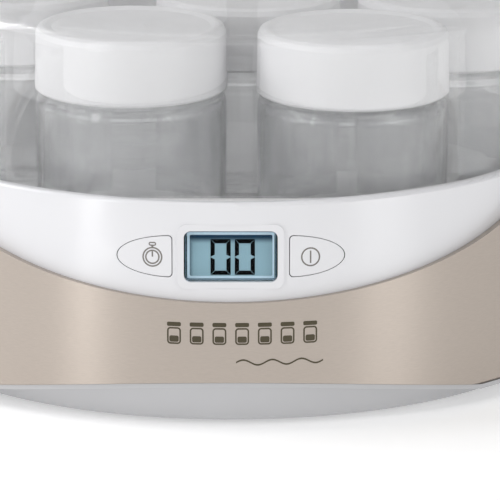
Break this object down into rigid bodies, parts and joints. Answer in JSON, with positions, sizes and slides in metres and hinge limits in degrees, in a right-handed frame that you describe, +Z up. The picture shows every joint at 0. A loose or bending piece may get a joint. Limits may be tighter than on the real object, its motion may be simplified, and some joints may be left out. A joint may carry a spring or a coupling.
{
  "type": "yogurt maker",
  "caption": "Round yogurt maker: white body with a champagne metallic band, display and push buttons, clear lift-off dome over capped glass jars.",
  "frame": {"origin": "centre of the round body, on the table", "axes": "+Z up; the display and buttons face -Y; the mains inlet faces +Y; +X is to the right seen from the front"},
  "size_m": [0.264, 0.264, 0.1415],
  "materials": {
    "band": "satin metallic champagne paint",
    "body_white": "smooth white",
    "base_grey": "smooth light grey",
    "well_white": "heat-resistant white",
    "heater": "silicone-covered heating ring",
    "steel": "zinc-plated",
    "fuse_body": "sleeved",
    "window": "clear, blue-tinted",
    "lcd": "reflective display",
    "circuit_board": "solder-masked laminate",
    "black_plastic": "moulded black",
    "relay_case": "blue sealed case",
    "transformer_core": "taped winding",
    "terminal_plastic": "green terminal housing",
    "bush_plastic": "light grey",
    "rubber": "soft grey rubber",
    "cover_clear": "clear moulded plastic",
    "jar_glass": "clear pressed glass",
    "cap_white": "white polypropylene",
    "button_white": "smooth white"
  },
  "bodies": {
    "base": {"outer_band": "band", "base_shell": "base_grey", "upper_housing": "body_white", "heating_well": "well_white", "heating_element": "heater", "heater_plate": "steel", "temp_sensor": "steel", "thermal_fuse": "fuse_body", "display_window": "window", "lcd_module": "lcd", "control_board": "circuit_board", "button_switches": "black_plastic", "board_screws": "steel", "power_board": "circuit_board", "relay": "relay_case", "capacitor": "black_plastic", "transformer": "transformer_core", "terminal_block": "terminal_plastic", "power_board_screws": "steel", "inlet_bush": "bush_plastic", "case_screws": "steel", "rubber_feet": "rubber"},
    "cover": {"cover": "cover_clear"},
    "timer_button": {"timer_button": "button_white"},
    "power_button": {"power_button": "button_white"},
    "jar_front_left": {"jar_front_left": "jar_glass"},
    "cap_front_left": {"cap_front_left": "cap_white"},
    "jar_front_right": {"jar_front_right": "jar_glass"},
    "cap_front_right": {"cap_front_right": "cap_white"},
    "jar_mid_left": {"jar_mid_left": "jar_glass"},
    "cap_mid_left": {"cap_mid_left": "cap_white"},
    "jar_centre": {"jar_centre": "jar_glass"},
    "cap_centre": {"cap_centre": "cap_white"},
    "jar_mid_right": {"jar_mid_right": "jar_glass"},
    "cap_mid_right": {"cap_mid_right": "cap_white"},
    "jar_back_left": {"jar_back_left": "jar_glass"},
    "cap_back_left": {"cap_back_left": "cap_white"},
    "jar_back_right": {"jar_back_right": "jar_glass"},
    "cap_back_right": {"cap_back_right": "cap_white"}
  },
  "joints": [
    {"name": "cover_lift", "type": "slide", "parent": "base", "child": "cover", "axis": [0, 0, 1], "range_m": [0, 0.22]},
    {"name": "timer_press", "type": "slide", "parent": "base", "child": "timer_button", "axis": [0, 0.9924, -0.1233], "range_m": [0, 0.0008], "stiffness_N_per_m": 400, "springref_m": -0.0006},
    {"name": "power_press", "type": "slide", "parent": "base", "child": "power_button", "axis": [0, 0.9924, -0.1233], "range_m": [0, 0.0008], "stiffness_N_per_m": 400, "springref_m": -0.0006},
    {"name": "jar_front_left_lift", "type": "slide", "parent": "base", "child": "jar_front_left", "axis": [0, 0, 1], "range_m": [0, 0.11]},
    {"name": "cap_front_left_lift", "type": "slide", "parent": "jar_front_left", "child": "cap_front_left", "axis": [0, 0, 1], "range_m": [0, 0.044]},
    {"name": "jar_front_right_lift", "type": "slide", "parent": "base", "child": "jar_front_right", "axis": [0, 0, 1], "range_m": [0, 0.11]},
    {"name": "cap_front_right_lift", "type": "slide", "parent": "jar_front_right", "child": "cap_front_right", "axis": [0, 0, 1], "range_m": [0, 0.044]},
    {"name": "jar_mid_left_lift", "type": "slide", "parent": "base", "child": "jar_mid_left", "axis": [0, 0, 1], "range_m": [0, 0.11]},
    {"name": "cap_mid_left_lift", "type": "slide", "parent": "jar_mid_left", "child": "cap_mid_left", "axis": [0, 0, 1], "range_m": [0, 0.044]},
    {"name": "jar_centre_lift", "type": "slide", "parent": "base", "child": "jar_centre", "axis": [0, 0, 1], "range_m": [0, 0.11]},
    {"name": "cap_centre_lift", "type": "slide", "parent": "jar_centre", "child": "cap_centre", "axis": [0, 0, 1], "range_m": [0, 0.044]},
    {"name": "jar_mid_right_lift", "type": "slide", "parent": "base", "child": "jar_mid_right", "axis": [0, 0, 1], "range_m": [0, 0.11]},
    {"name": "cap_mid_right_lift", "type": "slide", "parent": "jar_mid_right", "child": "cap_mid_right", "axis": [0, 0, 1], "range_m": [0, 0.044]},
    {"name": "jar_back_left_lift", "type": "slide", "parent": "base", "child": "jar_back_left", "axis": [0, 0, 1], "range_m": [0, 0.11]},
    {"name": "cap_back_left_lift", "type": "slide", "parent": "jar_back_left", "child": "cap_back_left", "axis": [0, 0, 1], "range_m": [0, 0.044]},
    {"name": "jar_back_right_lift", "type": "slide", "parent": "base", "child": "jar_back_right", "axis": [0, 0, 1], "range_m": [0, 0.11]},
    {"name": "cap_back_right_lift", "type": "slide", "parent": "jar_back_right", "child": "cap_back_right", "axis": [0, 0, 1], "range_m": [0, 0.044]}
  ],
  "couplings": [
    {"joint": "jar_front_left_lift", "follows": "cover_lift", "ratio": 0.5},
    {"joint": "cap_front_left_lift", "follows": "cover_lift", "ratio": 0.2},
    {"joint": "jar_front_right_lift", "follows": "cover_lift", "ratio": 0.5},
    {"joint": "cap_front_right_lift", "follows": "cover_lift", "ratio": 0.2},
    {"joint": "jar_mid_left_lift", "follows": "cover_lift", "ratio": 0.5},
    {"joint": "cap_mid_left_lift", "follows": "cover_lift", "ratio": 0.2},
    {"joint": "jar_centre_lift", "follows": "cover_lift", "ratio": 0.5},
    {"joint": "cap_centre_lift", "follows": "cover_lift", "ratio": 0.2},
    {"joint": "jar_mid_right_lift", "follows": "cover_lift", "ratio": 0.5},
    {"joint": "cap_mid_right_lift", "follows": "cover_lift", "ratio": 0.2},
    {"joint": "jar_back_left_lift", "follows": "cover_lift", "ratio": 0.5},
    {"joint": "cap_back_left_lift", "follows": "cover_lift", "ratio": 0.2},
    {"joint": "jar_back_right_lift", "follows": "cover_lift", "ratio": 0.5},
    {"joint": "cap_back_right_lift", "follows": "cover_lift", "ratio": 0.2}
  ]
}
